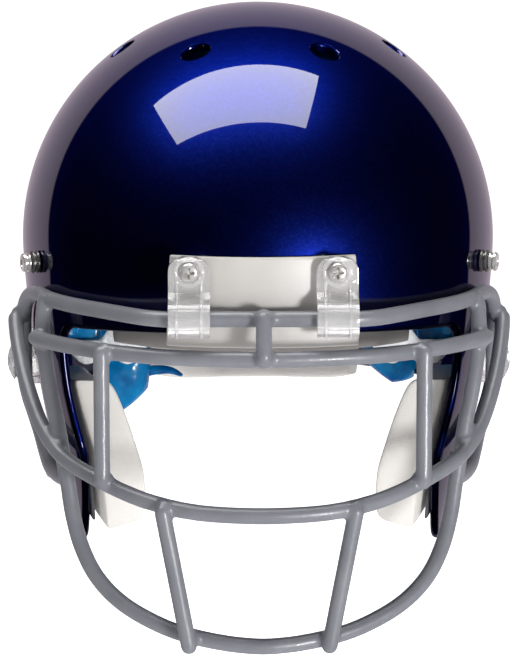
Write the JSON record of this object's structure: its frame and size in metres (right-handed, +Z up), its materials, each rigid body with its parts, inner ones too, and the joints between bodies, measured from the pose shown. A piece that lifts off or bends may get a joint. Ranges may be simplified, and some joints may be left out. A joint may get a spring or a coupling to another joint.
{
  "type": "american football helmet",
  "caption": "Hard-shell football helmet with an air-cushion liner, jaw pads, vent holes, chin-strap snaps and a welded wire facemask that swings up on its front clips.",
  "frame": {"origin": "middle of the shell's widest level, in the head cavity, where the head sits", "axes": "+Z up, the face looks along -Y, +X is the wearer's left"},
  "size_m": [0.2392, 0.3086, 0.2812],
  "materials": {
    "shell": "metallic flake blue with a clear coat",
    "wire": "grey vinyl coating, glossy",
    "bumper": "off-white, satin",
    "clip": "clear moulded plastic",
    "steel": "polished plated steel",
    "collar": "polished plated steel, turned grooves",
    "foam": "off-white vinyl-skinned foam",
    "backing": "dark plastic sheet",
    "cushion": "translucent teal air cushion",
    "rubber": "black rubber"
  },
  "bodies": {
    "helmet": {"back_cushion": "cushion", "brow_pad": "foam", "chin_snap_collar_lower_left": "collar", "chin_snap_collar_lower_right": "collar", "chin_snap_collar_upper_left": "collar", "chin_snap_collar_upper_right": "collar", "chin_snap_stud_lower_left": "steel", "chin_snap_stud_lower_right": "steel", "chin_snap_stud_upper_left": "steel", "chin_snap_stud_upper_right": "steel", "chin_snap_t_nut_lower_left": "steel", "chin_snap_t_nut_lower_right": "steel", "chin_snap_t_nut_upper_left": "steel", "chin_snap_t_nut_upper_right": "steel", "crown_cushion": "cushion", "front_bumper": "bumper", "front_clip_left": "clip", "front_clip_right": "clip", "front_clip_screw_left": "steel", "front_clip_screw_right": "steel", "front_clip_t_nut_left": "steel", "front_clip_t_nut_right": "steel", "inflation_valve_back": "rubber", "inflation_valve_crown": "rubber", "jaw_pad_backing_left": "backing", "jaw_pad_backing_right": "backing", "jaw_pad_left": "foam", "jaw_pad_right": "foam", "nape_pad": "foam", "rear_bumper": "bumper", "rear_bumper_screw_left": "steel", "rear_bumper_screw_right": "steel", "rear_bumper_t_nut_left": "steel", "rear_bumper_t_nut_right": "steel", "shell": "shell", "side_clip_screw_left": "steel", "side_clip_screw_right": "steel", "side_clip_t_nut_left": "steel", "side_clip_t_nut_right": "steel", "side_cushion_left": "cushion", "side_cushion_right": "cushion"},
    "facemask": {"facemask": "wire", "side_clip_left": "clip", "side_clip_right": "clip"}
  },
  "joints": [
    {"name": "facemask_pivot", "type": "hinge", "parent": "helmet", "child": "facemask", "pos_m": [0, -0.149, -0.0185], "axis": [-1, 0, 0], "range_deg": [0, 100]}
  ]
}
